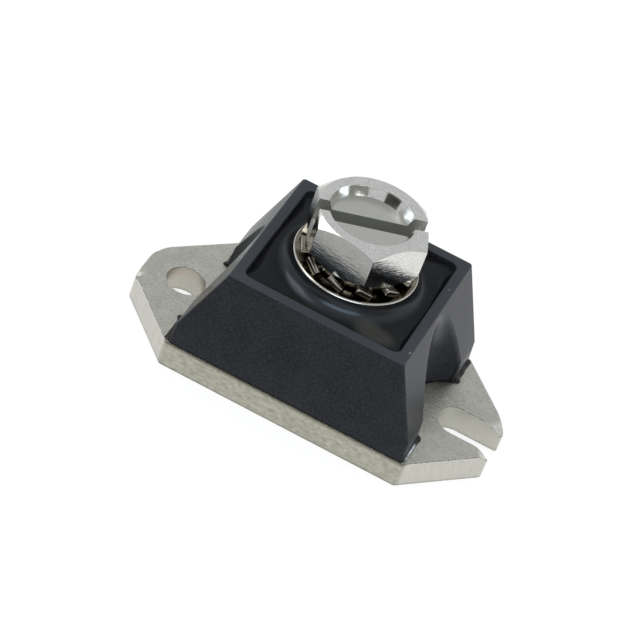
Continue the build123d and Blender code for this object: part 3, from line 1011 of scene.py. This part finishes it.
thread_turns = int((head_bottom - screw_low.z) / thread_pitch) + 3
thread_start = screw_low.z - 1.5 * thread_pitch
thread_root = thread_radius - thread_depth
thread_slope = (thread_pitch - 2 * thread_flat) / 2
thread = draw_profile("thread", [
    (thread_root, thread_start),
    (thread_root, thread_start + thread_flat),
    (thread_radius, thread_start + thread_flat + thread_slope),
    (thread_radius, thread_start + 2 * thread_flat + thread_slope),
    (thread_root, thread_start + thread_pitch),
])
close_edit()
apply_modifier(thread, "SCREW", axis="Z", angle=2 * pi, screw_offset=thread_pitch,
               iterations=thread_turns, steps=48, render_steps=48,
               use_merge_vertices=True, merge_threshold=1e-6)
open_for_edit(thread)
pick_all()
bpy.ops.mesh.remove_doubles(threshold=1e-6)
bpy.ops.mesh.select_all(action="DESELECT")
bpy.ops.mesh.select_non_manifold()
bpy.ops.mesh.edge_face_add()
pick_all()
bpy.ops.mesh.normals_make_consistent(inside=False)
close_edit()
shank = draw_profile("shank", [
    (0, screw_low.z),
    (thread_radius - tip_trim, screw_low.z),
    (thread_radius + mm, screw_low.z + tip_trim + mm),
    (thread_radius + mm, head_bottom + 0.3 * mm),
    (0, head_bottom + 0.3 * mm),
])
turn_profile(64)
close_edit()
combine(shank, thread, "INTERSECT")
combine(screw, shank, "UNION")
shade_crisp(screw, 12)

headed = new_finish("headed_nickel", Metallic=1.0)
plating = speckle(headed, 1.1 * mm, 5.0, 0.6)
scuffs = speckle(headed, 0.5 * mm, 4.0, 0.5, place(headed, stretch=(0.6, 0.6, 2)), distortion=0.3)
pitting = speckle(headed, 0.12 * mm, 4.0, 0.6, distortion=0.3)
level = facing_up(headed)
screw_place = place(headed, dish_centre)
screw_height = along(headed, "Z", screw_place)
across_slot = node(headed, "VectorMath", 1, {"operation": "DOT_PRODUCT"},
                   _0=screw_place, _1=(-sin(slot_turn), cos(slot_turn), 0))
from_slot = reckon(headed, "ABSOLUTE", across_slot)
in_slot = spread(headed, from_slot, slot_width / 2 + 0.05 * mm, slot_width / 2 + 0.02 * mm)
from_dish_axis = distance_from(headed, dish_centre, (1, 1, 0))
in_dish = overlap(headed, spread(headed, from_dish_axis, dish_radius + 0.05 * mm, dish_radius),
                  spread(headed, screw_height, head_top - 0.06 * mm, head_top - 0.1 * mm),
                  spread(headed, screw_height, dish_floor - 0.1 * mm, dish_floor - 0.05 * mm))
head_tone = tint(headed, spread(headed, plating, 0.3, 0.7), (0.68, 0.675, 0.645, 1),
                 (0.76, 0.755, 0.725, 1))
dish_bottom = overlap(headed, in_dish, level)
head_tone = tint(headed, dish_bottom, head_tone, (0.55, 0.55, 0.515, 1))
# Painted shade: the slot's walls and floor are painted darker.
head_tone = tint(headed, in_slot, head_tone, (0.44, 0.44, 0.405, 1))
head_tone = tint(headed, spread(headed, pitting, 0.47, 0.65, 0.0, 0.5), head_tone,
                 (0.36, 0.36, 0.33, 1))
# Edges: near the top, a painted highlight, a bright line; lower down, a dark line.
head_edges = sharp_edge_mask(headed, 0.06 * mm)
at_top = spread(headed, screw_height, head_top - 0.2 * mm, head_top - 0.12 * mm)
edge_highlight_and_line_tone = tint(headed, at_top, (0.12, 0.12, 0.1, 1), (0.92, 0.92, 0.89, 1))
head_tone = tint(headed, head_edges, head_tone, edge_highlight_and_line_tone)
head_lean = lean(headed)
# Darker and rougher on the roll where the trims meet the flanks, and painted shade in the dish's
# corner between floor and wall.
trim_roll = overlap(headed, spread(headed, head_lean, 0.74, 0.68),
                    spread(headed, head_lean, 0.05, 0.12),
                    spread(headed, from_dish_axis, dish_radius + 0.2 * mm, dish_radius + 0.4 * mm))
dish_corner = overlap(headed, spread(headed, head_lean, 0.98, 0.92),
                      spread(headed, head_lean, 0.45, 0.55), in_dish)
dark_roll_and_corner_shade = reckon(headed, "MAXIMUM", trim_roll, dish_corner)
head_tone = tint(headed, dark_roll_and_corner_shade, head_tone, (0.14, 0.14, 0.12, 1))
flank_gloss = spread(headed, scuffs, 0.3, 0.7, 0.04, 0.12)
level_gloss = spread(headed, plating, 0.3, 0.7, 0.22, 0.3)
dish_gloss = spread(headed, level, 0.0, 1.0, 0.11, 0.26)
head_gloss = blend(headed, level, flank_gloss, level_gloss)
head_gloss = blend(headed, in_dish, head_gloss, dish_gloss)
head_gloss = blend(headed, in_slot, head_gloss, 0.5)
head_gloss = blend(headed, dark_roll_and_corner_shade, head_gloss, 0.7)
head_relief = reckon(headed, "MULTIPLY_ADD", pitting, 0.5, scuffs)
head_relief = overlap(headed, head_relief, spread(headed, in_dish, 0.0, 1.0, 1.0, 0.35))
full_draft = flat_draft / head_relief_depth
head_draft = spread(headed, screw_height, head_bottom, head_top - upper_trim, 0.0, full_draft)
near_dish = spread(headed, from_dish_axis, dish_radius + 0.9 * mm, dish_radius + 0.7 * mm)
head_draft = blend(headed, near_dish, head_draft, full_draft)
head_draft = reckon(headed, "ADD", head_relief, head_draft)
link_shader(headed, Base_Color=head_tone, Roughness=head_gloss,
            Normal=relief(headed, 0.5, head_relief_depth, head_draft))
screw.data.materials.append(headed)
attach(screw, "root")
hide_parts("terminal_screw")

# ---------------------------------------------------------------- stage
# A white sweep under and behind the part, which shows pure white to the camera and in
# the metal and still takes the part's soft shadow.
lamp_distance = 0.4
card_distance = 0.3

bpy.ops.mesh.primitive_plane_add(size=3)
floor = bpy.context.object
floor.name = "floor"
white_sweep = new_finish("white_sweep", Base_Color=(0.8, 0.8, 0.8, 1), Roughness=0.9)
path = white_sweep.node_tree.nodes.new("ShaderNodeLightPath")
seen = reckon(white_sweep, "MAXIMUM", path.outputs["Is Camera Ray"], path.outputs["Is Glossy Ray"])
seen = reckon(white_sweep, "MAXIMUM", seen, path.outputs["Is Transmission Ray"])
glow_share = overlap(white_sweep, seen, 0.82)
white_glow = node(white_sweep, "Emission", 0, Color=(1, 1, 1, 1), Strength=1.0)
shader_out = white_sweep.node_tree.nodes["Principled BSDF"].outputs[0]
swept = node(white_sweep, "MixShader", 0, _0=glow_share, _1=shader_out, _2=white_glow)
surface = white_sweep.node_tree.nodes["Material Output"].inputs["Surface"]
white_sweep.node_tree.links.new(swept, surface)
floor.data.materials.append(white_sweep)

world = bpy.data.worlds.new("studio")
bpy.context.scene.world = world
world.use_nodes = True
sky = world.node_tree.nodes["Background"]
sky.inputs["Color"].default_value = (0.95, 0.97, 1.0, 1)
sky.inputs["Strength"].default_value = 0.72
path = world.node_tree.nodes.new("ShaderNodeLightPath")
camera_sky = world.node_tree.nodes.new("ShaderNodeBackground")
camera_sky.inputs["Color"].default_value = (1, 1, 1, 1)
either = world.node_tree.nodes.new("ShaderNodeMixShader")
world.node_tree.links.new(path.outputs["Is Camera Ray"], either.inputs[0])
world.node_tree.links.new(sky.outputs[0], either.inputs[1])
world.node_tree.links.new(camera_sky.outputs[0], either.inputs[2])
world.node_tree.links.new(either.outputs[0], world.node_tree.nodes["World Output"].inputs[0])


def hold_at(holder, azimuth, elevation, distance):
    """Turn something flat to the part, at an azimuth and elevation in degrees."""
    turn, lift = radians(azimuth), radians(elevation)
    away = Vector((sin(turn) * cos(lift), -cos(turn) * cos(lift), sin(lift)))
    holder.location = away * distance
    holder.rotation_euler = away.to_track_quat("Z", "Y").to_euler()
    holder.visible_camera = False


def add_softbox(name, azimuth, elevation, width, tall, power, colour=(1, 1, 1), mirrored=True):
    """A flat lamp that the camera doesn't see, mirrored in glossy surfaces or not."""
    lamp = bpy.data.lights.new(name, "AREA")
    lamp.shape = "RECTANGLE"
    lamp.size = width
    lamp.size_y = tall
    lamp.energy = power
    lamp.color = colour
    holder = bpy.data.objects.new(name, lamp)
    bpy.context.scene.collection.objects.link(holder)
    hold_at(holder, azimuth, elevation, lamp_distance)
    holder.visible_glossy = mirrored


add_softbox("softbox_over", 180, 80, 0.2, 0.2, 0.45, mirrored=False)
add_softbox("softbox_front", 14, 32, 0.38, 0.11, 0.5, (0.7, 0.86, 1.0))
add_softbox("softbox_fill", 0, 34, 0.5, 0.2, 0.7, mirrored=False)
add_softbox("softbox_right", 95, 28, 0.22, 0.2, 0.65, mirrored=False)
add_softbox("softbox_left", -78, 50, 0.24, 0.24, 0.5)


def add_card(name, tone, width, tall):
    """A plain card that shows only in the bright metal."""
    bpy.ops.mesh.primitive_plane_add(size=1)
    card = bpy.context.object
    card.name = name
    card.scale = (width, tall, 1)
    card.visible_camera = False
    card.visible_diffuse = False
    card.visible_shadow = False
    card.data.materials.append(tone)
    return card


black_card = new_finish("black_card", Base_Color=(0.025, 0.025, 0.02, 1), Roughness=0.9)
dim_card = new_finish("dim_card", Base_Color=(0.2, 0.2, 0.175, 1), Roughness=0.9)
grey_card = new_finish("grey_card", Base_Color=(0.3, 0.3, 0.29, 1), Roughness=0.9)
hold_at(add_card("card_left", black_card, 0.207, 0.12), -24.5, 11, card_distance)
hold_at(add_card("card_right", dim_card, 0.287, 0.12), 66, 11, card_distance)
# Two grey cards on the floor, seen only in the metal: painted shade where the part's shadow falls
# on the sweep in front of it and behind its left end.
floor_card = add_card("floor_card", grey_card, 0.05, 0.03)
floor_card.location = (-0.012, -0.029, 0.0005)
rear_card = add_card("rear_card", grey_card, 0.03, 0.032)
rear_card.location = (-0.0315, 0.0245, 0.0005)

# ---------------------------------------------------------------- camera
# A long lens, close enough to look down on the part over its long side, rolled a little.
view_azimuth = 9.4568
view_elevation = 39.6042
view_roll = 21.2806
view_distance = 338.126 * mm
view_target = Vector((0, 0, 7 * mm))
focal_share = 5.42043
centre_share = (0.019559, 0.001705)
sensor = 36.0

turn, lift, roll = radians(view_azimuth), radians(view_elevation), radians(view_roll)
back = Vector((sin(turn) * cos(lift), -cos(turn) * cos(lift), sin(lift)))
level_right = Vector((cos(turn), sin(turn), 0))
level_up = back.cross(level_right)
right = cos(roll) * level_right + sin(roll) * level_up
up = cos(roll) * level_up - sin(roll) * level_right
aside = Vector((centre_share[0], -centre_share[1])) * view_distance / focal_share
camera = bpy.data.objects.new("camera", bpy.data.cameras.new("camera"))
camera.data.lens = focal_share * sensor
camera.data.sensor_width = sensor
camera.matrix_world = Matrix.Translation(
    view_target + back * view_distance - right * aside.x - up * aside.y
) @ Matrix((right, up, back)).transposed().to_4x4()
bpy.context.scene.collection.objects.link(camera)
bpy.context.scene.camera = camera
bpy.context.scene.view_settings.view_transform = "Standard"
